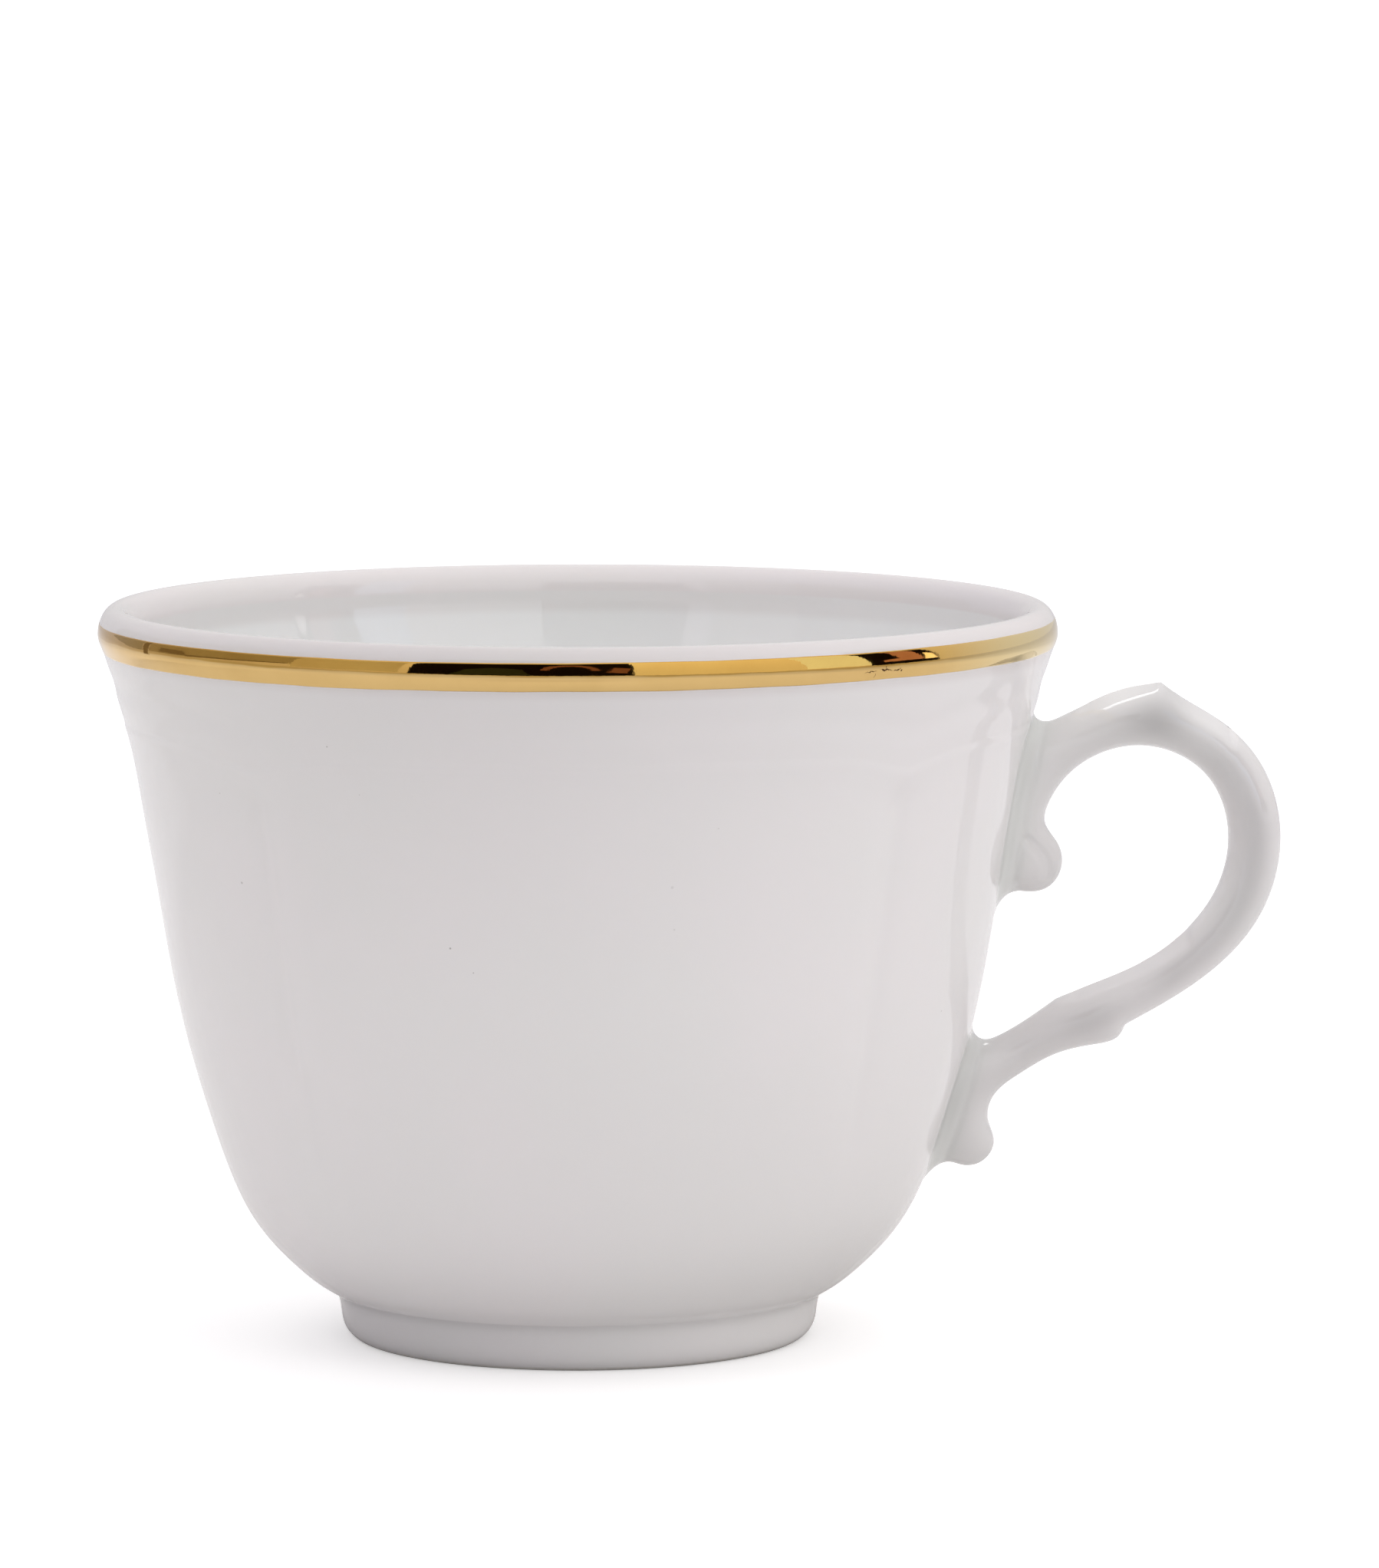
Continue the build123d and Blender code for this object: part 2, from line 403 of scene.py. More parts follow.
def bowl_piece(material):
    heights = wall_heights()
    wall = outer_radius(ANGLES[None, :], heights[:, None]), np.repeat(heights[:, None], COLUMNS, 1)
    under = turned(spline(UNDERSIDE, 1.0))
    lip = turned(lip_arc())
    inside = turned(spline(INNER_WALL, 0.7, ((0, -1), (-1, 0))))
    radius, height = (np.vstack(rings) for rings in zip(under, wall, lip, inside))
    points, faces = rings_to_mesh(radius, height)
    points, faces = add_pole(points, faces, 0, FOOT_HEIGHT + DOME_RISE, False)
    points, faces = add_pole(points, faces, len(radius) - 1, FLOOR_HEIGHT, True)
    piece = make_piece("bowl_body", points, faces, material)
    first_inside = (len(radius) - len(inside[0])) * COLUMNS
    inner = (np.arange(len(points)) >= first_inside).astype(float)
    add_layer(piece, "inside", inner)
    # the glow layer marks painted light: the inside is painted paler towards the handle
    add_layer(piece, "glow", inner * ramp(points[:, 0], *PAINTED_LIGHT_INSIDE_RUN))
    return piece


def foot_piece(material):
    land = spline([FOOT_OUTSIDE[-1]] + FOOT_LAND + [FOOT_INSIDE[0]], 0.1)
    profile = np.vstack([spline(FOOT_OUTSIDE, 0.2)[:-1], land[:-1], spline(FOOT_INSIDE, 0.3), FOOT_TOP])
    points, faces = rings_to_mesh(*turned(profile[::-1]), closed=True)
    return make_piece("foot_rim", points, faces, material)


def lip_surface(share, low, high):
    """Points up the outside of the lip between two heights, as (radius, height), at shares from 0 to 1."""
    height = low + (high - low) * share
    rise = np.clip((height - WIDEST_HEIGHT) / (CUP_HEIGHT - WIDEST_HEIGHT), 0, 1)
    over = RIM_RADIUS - LIP_HALF_WIDTH + LIP_HALF_WIDTH * np.sqrt(1 - rise**2)
    return np.where(height < WIDEST_HEIGHT, outer_radius(0.0, height), over), height


def gold_piece(material):
    """The fired gold: a thin shell on the lip with slightly uneven edges."""
    wander = sum(size * np.sin(count * ANGLES + start) for size, count, start in GOLD_WAVES)
    tilt = GOLD_TILT * np.cos(ANGLES)
    low = GOLD_BOTTOM + tilt + wander
    high = GOLD_TOP + GOLD_TOP_TILT * tilt + GOLD_TOP_WAVES * np.roll(wander, GOLD_TOP_TURN)
    share = np.linspace(0, 1, GOLD_ROWS)[:, None]
    radius, height = lip_surface(share, low[None, :], high[None, :])
    front = radius + GOLD_PROUD * ((share > 0) & (share < 1))
    back = (radius - GOLD_BACK)[::-1]
    points, faces = rings_to_mesh(np.vstack([front, back]), np.vstack([height, height[::-1]]), closed=True)
    return make_piece("gold_band", points, faces, material)


# ---- the handle ----
def handle_outline():
    """Points round the handle, anticlockwise seen from -Y, and which of them are in the bowl's wall."""
    roots = (ROOT_UPPER, ROOT_LOWER)
    runs = (LOWER_EDGE, SPUR, OUTER_BACK, TOP_EDGE, ROOT_UPPER, INNER_BACK, LOWER_NOTCH, ROOT_LOWER)
    points, hidden = [], []
    for run in runs:
        line = spline(run[::-1], MESH_STEP)[:-1]
        points.append(line)
        hidden.append(np.full(len(line), run in roots))
    return np.vstack(points), np.concatenate(hidden)


def distance_to(points, line, closed=True):
    """Distance of each point to a line of short straight pieces."""
    a = line if closed else line[:-1]
    b = np.roll(line, -1, axis=0) if closed else line[1:]
    d = b - a
    best = np.full(len(points), np.inf)
    for start, step in zip(a, d):
        t = np.clip(((points - start) @ step) / (step @ step), 0, 1)
        best = np.minimum(best, np.hypot(*(points - start - t[:, None] * step).T))
    return best


def inside_of(points, line):
    """Which points lie inside the closed line."""
    x, z = points[:, 0], points[:, 1]
    odd = np.zeros(len(points), bool)
    for (x0, z0), (x1, z1) in zip(line, np.roll(line, -1, axis=0)):
        if z0 != z1:
            odd ^= ((z0 > z) != (z1 > z)) & (x < (x1 - x0) * (z - z0) / (z1 - z0) + x0)
    return odd


def kept_inside(points, outline, clear):
    """Those of the points that lie inside the outline and farther than clear from it."""
    points = points[inside_of(points, outline)]
    return points[distance_to(points, outline) > clear]


def edge_rows(outline):
    along = np.roll(outline, -1, axis=0) - np.roll(outline, 1, axis=0)
    inward = np.stack([-along[:, 1], along[:, 0]], axis=1) / np.hypot(*along.T)[:, None]
    return [kept_inside(outline + inward * inset, outline, EDGE_CLEAR * inset) for inset in EDGE_STEPS]


def facet_rows(outline):
    rows = []
    for edge, where, depths, _, _, _ in FACETS:
        line = spline(edge, FACET_STEP)
        line = line[(line[:, 0] > where[0]) & (line[:, 0] < where[-1])]
        along = np.gradient(line, axis=0)
        side = np.stack([along[:, 1], -along[:, 0]], axis=1) / np.hypot(*along.T)[:, None]
        side *= np.where(inside_of(line + SIDE_PROBE * side, outline), 1, -1)[:, None]
        for shift in FACET_ROWS:
            row = line + side * (np.interp(line[:, 0], where, depths) + shift)[:, None]
            rows.append(kept_inside(row, outline, ROW_CLEAR))
    return rows


def bowl_rows(outline):
    z = np.arange(*STEM_HEIGHTS, BOWL_STEP)
    rows = [np.stack([outer_radius(0.0, z) + gap, z], axis=1) for gap in BOWL_ROWS]
    return [kept_inside(row, outline, ROW_CLEAR) for row in rows]


def even_net(outline):
    """Rows of an even triangular net where none of the other rows are."""
    low, high = outline.min(axis=0), outline.max(axis=0)
    row_step = MESH_STEP * NET_RISE
    x, z = np.meshgrid(np.arange(low[0], high[0], MESH_STEP), np.arange(low[1], high[1], row_step))
    x[1::2] += MESH_STEP / 2
    net = kept_inside(np.stack([x.ravel(), z.ravel()], axis=1), outline, EDGE_STEPS[-1] + 0.6 * MESH_STEP)
    gap = net[:, 0] - outer_radius(0.0, net[:, 1])
    return net[(gap < BOWL_ROWS[0] - ROW_CLEAR) | (gap > BOWL_ROWS[-1] + ROW_CLEAR)]


def handle_net(outline):
    """Points and triangles that fill the outline, and each point's number in the cloud, outline first."""
    rows = edge_rows(outline) + facet_rows(outline) + bowl_rows(outline)
    cloud = np.vstack([outline] + rows + [even_net(outline)])
    ring = list(range(len(outline)))
    edges = [(i, (i + 1) % len(outline)) for i in ring]
    found = delaunay_2d_cdt([tuple(p) for p in cloud], edges, [ring], 1, 1e-6)
    points = np.array([tuple(p) for p in found[0]])
    triangles = np.array([f for f in found[2] if len(f) == 3])
    first = np.array([ids[0] if ids else -1 for ids in found[3]])
    return points, triangles, first


def inflate(points, triangles, held):
    """Height of a skin blown up over the triangles and held down at some points: the Poisson equation."""
    corner = points[triangles]
    edge = corner[:, [2, 0, 1]] - corner[:, [1, 2, 0]]
    area = 0.5 * np.abs(edge[:, 0, 0] * edge[:, 1, 1] - edge[:, 0, 1] * edge[:, 1, 0])
    local = np.einsum("mik,mjk->mij", edge, edge) / (4 * area)[:, None, None]
    rows = np.repeat(triangles, 3, axis=1).ravel()
    columns = np.tile(triangles, (1, 3)).ravel()
    values = local.ravel()
    n = len(points)
    load = np.bincount(triangles.ravel(), np.repeat(area / 3, 3), n)
    free = ~held
    diagonal = np.bincount(rows[rows == columns], values[rows == columns], n)
    u, r = np.zeros(n), np.where(free, load, 0.0)
    z = r / diagonal
    p, rz = z.copy(), r @ z
    for _ in range(SOLVER_ROUNDS):
        q = np.where(free, np.bincount(rows, values * p[columns], n), 0.0)
        step = rz / (p @ q)
        u += step * p
        r -= step * q
        z = r / diagonal
        new = r @ z
        if new < SOLVER_END * (load @ load):
            break
        p, rz = z + (new / rz) * p, new
    return np.maximum(u, 0.0)


def swell(points):
    """The blow-up factor at each point, smoothly mixed from the nearest places in SWELL."""
    places = np.array(SWELL)
    gap = np.hypot(points[:, None, 0] - places[None, :, 0], points[:, None, 1] - places[None, :, 1])
    weight = bell(gap, SWELL_REACH) + 1e-9
    return (weight * places[:, 2]).sum(axis=1) / weight.sum(axis=1)


def cut_facets(points, thick):
    """Planes parts of the handle's edges flat, each plane ending in a soft edge along the side."""
    x = points[:, 0]
    for edge, where, depths, half_width, half_thick, soft in FACETS:
        depth = np.interp(x, where, depths)
        over = distance_to(points, spline(edge, 0.1), closed=False)
        plane = half_width * np.sqrt(1 - np.clip(1 - depth / half_thick, 0, 1) ** 2) * over / depth
        plane = np.minimum(plane, FACET_REACH * half_width)
        low = np.minimum(thick, plane)
        low -= soft * np.log(np.exp((low - thick) / soft) + np.exp((low - plane) / soft))
        share = smooth((x - where[0]) / FACET_START) * smooth((where[-1] - x) / FACET_FADE)
        share *= over < FACET_REACH * half_thick
        thick = np.maximum(thick + share * np.minimum(low - thick, 0), 0)
    return thick


def carve(thick, gap, depth, width):
    """Sinks a groove into the skin where gap is near 0. It runs out where the skin is thin."""
    return thick - depth * bell(gap, width) * smooth(thick / 2)


def vertex_normals(vertices, triangles):
    a, b, c = (vertices[triangles[:, i]] for i in range(3))
    flat = np.cross(b - a, c - a)
    out = np.zeros_like(vertices)
    for i in range(3):
        for k in range(3):
            out[:, k] += np.bincount(triangles[:, i], flat[:, k], len(vertices))
    return out / np.maximum(np.linalg.norm(out, axis=1), 1e-12)[:, None]


def flare_onto_bowl(vertices, normals):
    """Spreads the stems where they near the bowl, so that the glaze runs out onto it in a hollow fillet."""
    angle = np.arctan2(vertices[:, 1], vertices[:, 0])
    around = np.hypot(vertices[:, 0], vertices[:, 1])
    z = vertices[:, 2]
    slope = panel_radius(z + 0.5) - panel_radius(z - 0.5)
    lean = np.sqrt(1 + slope**2)
    gap = (around - outer_radius(angle, z)) / lean
    out = np.stack([np.cos(angle), np.sin(angle), -slope], axis=1) / lean[:, None]
    aside = normals - (normals * out).sum(axis=1)[:, None] * out
    size = np.linalg.norm(aside, axis=1)
    aside /= np.maximum(size, 1e-6)[:, None]
    reach = np.clip(STEM_FILLET - gap, 0, STEM_FILLET)
    spread = STEM_FILLET - np.sqrt(np.maximum(STEM_FILLET**2 - reach**2, 0))
    sunk = np.clip(-gap, 0, SINK)
    spread = (spread + SINK_RUN * sunk) * smooth(size / FLARE_FACING)
    moved = vertices + aside * spread[:, None]
    angle = np.arctan2(moved[:, 1], moved[:, 0])
    around = outer_radius(angle, moved[:, 2]) + (np.maximum(gap, 0) - 0.5 * sunk - SKIN_GAP) * lean
    put = np.stack([around * np.cos(angle), around * np.sin(angle), moved[:, 2]], axis=1)
    near = (spread > 0) & (gap > -SINK)
    moved[near] = put[near]
    return moved, gap


def arm_core(points, thick, cell=0.3, reach=10, blur=2):
    """0 at the arm's edges to 1 along its middle: thickness over the greatest nearby, found on a grid."""
    where = ((points - points.min(axis=0)) / cell).astype(int)
    grid = np.zeros(where.max(axis=0) + 1)
    np.maximum.at(grid, (where[:, 0], where[:, 1]), thick)
    rows, columns = grid.shape
    steps = [(i, j) for i in range(2 * reach + 1) for j in range(2 * reach + 1)]
    disc = [(i, j) for i, j in steps if (i - reach) ** 2 + (j - reach) ** 2 <= reach**2]
    around = np.pad(grid, reach)
    most = np.max([around[i : i + rows, j : j + columns] for i, j in disc], axis=0)
    around = np.pad(most, blur, mode="edge")
    shifts = range(2 * blur + 1)
    most = np.mean([around[i : i + rows, j : j + columns] for i in shifts for j in shifts], axis=0)
    return np.clip(thick / most[where[:, 0], where[:, 1]], 0, 1)


def near_to(points, place, reach):
    return bell(np.hypot(points[:, 0] - place[0], points[:, 1] - place[1]), reach)


def arm_painted_shade(points, thick):
    """Painted shade: the handle's tone beside the bowl's at each point."""
    x, z = points[:, 0], points[:, 1]
    out = np.maximum(ramp(x, *CORE_OUT), CORE_ROOT_SHARE * ramp(x, *CORE_ROOT))
    share = np.maximum(out, CORE_DOWN_SHARE * ramp(z, *CORE_DOWN))
    core = PAINTED_SHADE_CORE * share * arm_core(points, thick) ** CORE_POWER
    tip = PAINTED_SHADE_TIP * near_to(points, TIP_PLACE, TIP_REACH)
    stem = PAINTED_SHADE_STEM * near_to(points, STEM_PLACE, STEM_REACH)
    return PAINTED_SHADE_THIN - core - tip - stem


def handle_piece(material):
    """One skin over the handle and both slip joints: the front, and the back as its mirror image."""
    outline, root = handle_outline()
    points, triangles, first = handle_net(outline)
    count = len(points)
    on_outline = (first >= 0) & (first < len(outline))
    in_wall = np.zeros(count, bool)
    in_wall[on_outline] = root[first[on_outline]]
    held = on_outline & ~in_wall
    thick = swell(points) * np.sqrt(inflate(points, triangles, held))
    thick = np.where(held, 0.0, cut_facets(points, thick))
    thick = carve(thick, distance_to(points, spline(SCROLL, 0.2), closed=False), SCROLL_DEPTH, SCROLL_WIDTH)
    thick = carve(thick, points[:, 0] - outer_radius(0.0, points[:, 1]) - SEAM_GAP, SEAM_DEPTH, SEAM_WIDTH)
    # painted shade on the handle, kept as its tone
    tone = arm_painted_shade(points, thick)
    front = np.stack([points[:, 0], -thick, points[:, 1]], axis=1)
    back = front * np.array([1, -1, 1])
    partner = np.arange(count) + count
    partner[held] = np.flatnonzero(held)
    faces = np.vstack([triangles, partner[triangles][:, ::-1]])
    used = np.unique(faces)
    renumber = np.zeros(2 * count, int)
    renumber[used] = np.arange(len(used))
    vertices, faces = np.vstack([front, back])[used], renumber[faces]
    vertices, gap = flare_onto_bowl(vertices, vertex_normals(vertices, faces))
    piece = make_piece("handle_body", vertices, faces.tolist(), material)
    # painted shade in the corner between the stems and the bowl
    add_layer(piece, "corner_shade", smooth(1 - gap / CORNER_SHADE_REACH))
    # the tone layer holds the handle's painted shade
    add_layer(piece, "tone", np.concatenate([tone, tone])[used])
    return piece


# ---- materials ----
# Iron specks that the firing left in the glaze: (angle from the front, height), radius and strength.
SPECKS = [
    ((-50, 46.0), 0.17, 0.5),
    ((-17, 41.5), 0.14, 0.7),
    ((-14, 39.3), 0.10, 0.5),
    ((-31.7, 59.6), 0.12, 0.5),
    ((-28, 55.3), 0.08, 0.35),
    ((17.7, 52.5), 0.09, 0.3),
    ((12, 47.2), 0.2, 0.2),
    ((12.5, 43.3), 0.13, 0.2),
    ((-51.8, 54.2), 0.10, 0.35),
    ((62, 33.0), 0.12, 0.4),
    ((140, 44.0), 0.15, 0.6),
    ((205, 30.0), 0.12, 0.5),
]
SPECK = (0.30, 0.28, 0.26)
SPECK_CORE = 0.2            # share of a speck's radius that is fully dark
GLAZE = ((0.876, 0.858, 0.860), (0.863, 0.856, 0.851))       # it clouds from one of these to the other
GLAZE_CLOUDS = (45.0, 3.0, 0.5, 0.35, 0.65) # noise scale, detail, roughness, and its range in use
GLAZE_GLOSS = (160.0, 0.012, 0.035)         # noise scale, least and greatest roughness
GLAZE_RIPPLE = (700.0, 2.0, 0.25)           # noise scale, detail, strength
GOLD_EDGE_SHADE_TINT = (0.935, 0.915, 0.91)           # painted shade close under the gold
GOLD_EDGE_SHADE_RUN = 1.1
INSIDE_TINT = (0.985, 1.008, 1.003)
PAINTED_LIGHT_INSIDE_TINT = (1.06, 1.07, 1.075)             # painted light inside, towards the handle
CORNER_SHADE_TINT = (0.93, 0.965, 0.94)             # painted shade, darker and greener, in the corner round the stems
FOOT_SHADE_TINT = (0.78, 0.785, 0.79)
FOOT_SHADE_TINT_RUN = (-20.0, 24.0)               # painted shade on the foot's left side fades over these x
BARE_RUN = (0.2, 0.5)                       # the foot is bare below, glazed above these heights
CLAY = ((0.60, 0.58, 0.55), (0.70, 0.68, 0.65))
GRAIN_SCALE = 2500.0        # noise scale of the finest grain
RIPPLE_HEIGHT = 0.02

GOLD_LIT_BELOW = ((0.81, 0.56, 0.23), (0.75, 0.51, 0.20))        # painted reflection of the bright floor, below the widest ring
GOLD_DIM_ABOVE = ((0.62, 0.38, 0.095), (0.56, 0.33, 0.08))       # painted darker reflection above it
GOLD_CLOUDS = (90.0, 5.0, 0.6, 0.3, 0.7)
GOLD_GLOSS = (300.0, 0.02, 0.06)
GOLD_RIPPLE = (900.0, 3.0, 0.3)
GOLD_CHANGE = (0.27, 0.43)                  # heights over the widest ring where one passes into the other
GOLD_DRIFT = 0.5                            # and how far that wanders
GOLD_DRIFT_SCALE = 120.0
GOLD_PALE_REFLECTION = (0.80, 0.66, 0.36)              # painted pale reflection towards the handle
GOLD_PALE_REFLECTION_RUN = (30.0, 42.0)
GOLD_PALE_REFLECTION_SHARE = 0.9
# Wear marks where the gold has rubbed through: (angle from the front, height), length, width and slope in
# degrees.
WEAR = [
    ((35.7, 66.28), 1.5, 0.09, 2),
    ((38.0, 66.36), 1.8, 0.16, -5),
    ((39.6, 66.30), 1.1, 0.15, 9),
    ((38.0, 66.6), 0.30, 0.12, 75),
    ((40.3, 66.2), 0.28, 0.24, 0),
    ((36.3, 65.9), 0.4, 0.09, 70),
]
WORN = (0.10, 0.05, 0.025)
CRUMBLE = 0.5               # the marks' outlines crumble within this


def on_wall(degrees, z):
    """A point of the outer wall by its angle from the front and its height."""
    angle = math.radians(degrees - 90)
    radius = float(outer_radius(angle, z))
    return radius * math.cos(angle), radius * math.sin(angle), z


def new_material(name):
    material = bpy.data.materials.new(name)
    material.use_nodes = True
    nodes, links = material.node_tree.nodes, material.node_tree.links
    return material, nodes, links, nodes["Principled BSDF"]


def noise(nodes, links, vector, scale, detail, rough=0.5):
    node = nodes.new("ShaderNodeTexNoise")
    node.inputs["Scale"].default_value = scale
    node.inputs["Detail"].default_value = detail
    node.inputs["Roughness"].default_value = rough
    links.new(vector, node.inputs["Vector"])
    return node.outputs["Fac"]


def map_range(nodes, links, value, low, high, to_low, to_high):
    node = nodes.new("ShaderNodeMapRange")
    node.interpolation_type = "SMOOTHSTEP"
    for name, number in (("From Min", low), ("From Max", high), ("To Min", to_low), ("To Max", to_high)):
        node.inputs[name].default_value = number
    links.new(value, node.inputs["Value"])
    return node.outputs["Result"]


def feed(links, socket, value):
    """Puts a number, a colour or another node's output into a socket."""
    if isinstance(value, tuple):
        socket.default_value = (*value, 1.0)
    elif isinstance(value, float):
        socket.default_value = value
    else:
        links.new(value, socket)


def mix_colour(nodes, links, share, first, second, blend="MIX"):
    node = nodes.new("ShaderNodeMix")
    node.data_type = "RGBA"
    node.blend_type = blend
    feed(links, node.inputs["Factor"], share)
    feed(links, node.inputs["A"], first)
    feed(links, node.inputs["B"], second)
    return node.outputs["Result"]


def tinted(nodes, links, colour, share, tint):
    """A colour multiplied by a share of a tint."""
    return mix_colour(nodes, links, share, colour, tint, "MULTIPLY")


def calculate(nodes, links, operation, *values):
    node = nodes.new("ShaderNodeMath")
    node.operation = operation
    for socket, value in zip(node.inputs, values):
        feed(links, socket, value)
    return node.outputs[0]


def object_place(nodes):
    return nodes.new("ShaderNodeTexCoord").outputs["Object"]


def along_axis(nodes, links, vector, axis):
    split = nodes.new("ShaderNodeSeparateXYZ")
    links.new(vector, split.inputs["Vector"])
    return split.outputs[axis]


def clouded(nodes, links, coord, clouds, tones):
    """A colour that passes in soft clouds from one tone to the other."""
    scale, detail, rough, low, high = clouds
    cloud = noise(nodes, links, coord, scale, detail, rough)
    return mix_colour(nodes, links, map_range(nodes, links, cloud, low, high, 0.0, 1.0), *tones)


def vary_roughness(nodes, links, shader, coord, scale, low, high):
    smear = noise(nodes, links, coord, scale, 4.0)
    links.new(map_range(nodes, links, smear, 0.3, 0.7, low, high), shader.inputs["Roughness"])


def ripple(nodes, links, shader, coord, scale, detail, strength):
    bump = nodes.new("ShaderNodeBump")
    bump.inputs["Strength"].default_value = strength
    bump.inputs["Distance"].default_value = RIPPLE_HEIGHT * MM
    links.new(noise(nodes, links, coord, scale, detail), bump.inputs["Height"])
    links.new(bump.outputs["Normal"], shader.inputs["Normal"])


def layer(nodes, name):
    """A value stored at the mesh's points, 0 on a mesh without it."""
    node = nodes.new("ShaderNodeAttribute")
    node.attribute_name = name
    return node.outputs["Fac"]


def specked(nodes, links, coord, colour, place, size, strength):
    """The colour with a dark speck at a place on the wall."""
    near = nodes.new("ShaderNodeVectorMath")
    near.operation = "DISTANCE"
    links.new(coord, near.inputs[0])
    near.inputs[1].default_value = tuple(MM * c for c in on_wall(*place))
    spot = map_range(nodes, links, near.outputs["Value"], SPECK_CORE * MM * size, MM * size, strength, 0.0)
    return mix_colour(nodes, links, spot, colour, SPECK)


def glaze_material():
    """White glaze with faint clouds, iron specks, painted shade under the gold, painted light inside towards
    the handle, varying gloss and a fine ripple.
    """
    material, nodes, links, shader = new_material("white_glaze")
    coord = object_place(nodes)
    colour = clouded(nodes, links, coord, GLAZE_CLOUDS, GLAZE)
    height = along_axis(nodes, links, coord, "Z")
    # painted shade: the glaze is painted darker just under the gold band
    gold_edge_shade = map_range(nodes, links, height, (GOLD_BOTTOM - GOLD_EDGE_SHADE_RUN) * MM, GOLD_BOTTOM * MM, 0.0, 1.0)
    colour = tinted(nodes, links, colour, gold_edge_shade, GOLD_EDGE_SHADE_TINT)
    colour = tinted(nodes, links, colour, layer(nodes, "inside"), INSIDE_TINT)
    # painted light: the inside is painted paler towards the handle
    colour = tinted(nodes, links, colour, layer(nodes, "glow"), PAINTED_LIGHT_INSIDE_TINT)
    for place, size, strength in SPECKS:
        colour = specked(nodes, links, coord, colour, place, size, strength)
    links.new(colour, shader.inputs["Base Color"])
    vary_roughness(nodes, links, shader, coord, *GLAZE_GLOSS)
    ripple(nodes, links, shader, coord, *GLAZE_RIPPLE)
    shader.inputs["IOR"].default_value = 1.5
    shader.inputs["Subsurface Weight"].default_value = 0.12
    shader.inputs["Subsurface Radius"].default_value = (1.0, 0.9, 0.8)
    shader.inputs["Subsurface Scale"].default_value = 0.8 * MM
    return material


def changed_glaze(name):
    """A copy of the glaze to change, with the colour that goes into its shader."""
    material = glaze_material()
    material.name = name
    nodes, links = material.node_tree.nodes, material.node_tree.links
    shader = nodes["Principled BSDF"]
    return material, nodes, links, shader, shader.inputs["Base Color"].links[0].from_socket


def handle_material():
    """The glaze with the handle's painted shade, and painted corner shade, darker and greener, round the
    stems.
    """
    material, nodes, links, shader, colour = changed_glaze("handle_glaze")
    # painted corner shade round the stems
    colour = tinted(nodes, links, colour, layer(nodes, "corner_shade"), CORNER_SHADE_TINT)
    # painted shade: the handle's tone darkens its glaze
    links.new(tinted(nodes, links, colour, 1.0, layer(nodes, "tone")), shader.inputs["Base Color"])
    return material


def foot_material():
    """Glaze that stops short of the land, where the bare porcelain shows, with painted shade towards its left
    side.
    """
    material, nodes, links, shader, colour = changed_glaze("foot_glaze")
    coord = object_place(nodes)
    start, end = (MM * x for x in FOOT_SHADE_TINT_RUN)
    # painted shade: the foot is painted darker on its left side
    foot_shade = map_range(nodes, links, along_axis(nodes, links, coord, "X"), start, end, 1.0, 0.0)
    colour = tinted(nodes, links, colour, foot_shade, FOOT_SHADE_TINT)
    low, high = (MM * z for z in BARE_RUN)
    bare = map_range(nodes, links, along_axis(nodes, links, coord, "Z"), low, high, 1.0, 0.0)
    clay = mix_colour(nodes, links, noise(nodes, links, coord, GRAIN_SCALE, 3.0), *CLAY)
    links.new(mix_colour(nodes, links, bare, colour, clay), shader.inputs["Base Color"])
    return material


def crumbled(nodes, links, coord):
    """The place moved about at random by up to CRUMBLE along each axis, on average by half of it."""
    ragged = nodes.new("ShaderNodeTexNoise")
    ragged.inputs["Scale"].default_value = GRAIN_SCALE
    links.new(coord, ragged.inputs["Vector"])
    moved = nodes.new("ShaderNodeVectorMath")
    moved.operation = "MULTIPLY_ADD"
    links.new(ragged.outputs["Color"], moved.inputs[0])
    moved.inputs[1].default_value = [CRUMBLE * MM] * 3
    links.new(coord, moved.inputs[2])
    return moved.outputs["Vector"]


def wear_mask(nodes, links, coord):
    """1 inside the wear marks, 0 elsewhere. Each mark is a ball squeezed to its length and width."""
    moved = crumbled(nodes, links, coord)
    total = 0.0
    for (degrees, height), length, width, slope in WEAR:
        mark = nodes.new("ShaderNodeMapping")
        mark.vector_type = "TEXTURE"
        place = Vector(on_wall(degrees, height)) + Vector([CRUMBLE / 2] * 3)
        mark.inputs["Location"].default_value = place * MM
        mark.inputs["Rotation"].default_value = (0.0, -math.radians(slope), math.radians(degrees))
        mark.inputs["Scale"].default_value = (length * MM / 2, MM, width * MM / 2)
        links.new(moved, mark.inputs["Vector"])
        size = nodes.new("ShaderNodeVectorMath")
        size.operation = "LENGTH"
        links.new(mark.outputs["Vector"], size.inputs[0])
        inside = map_range(nodes, links, size.outputs["Value"], 0.6, 1.0, 1.0, 0.0)
        total = calculate(nodes, links, "MAXIMUM", total, inside)
    return total


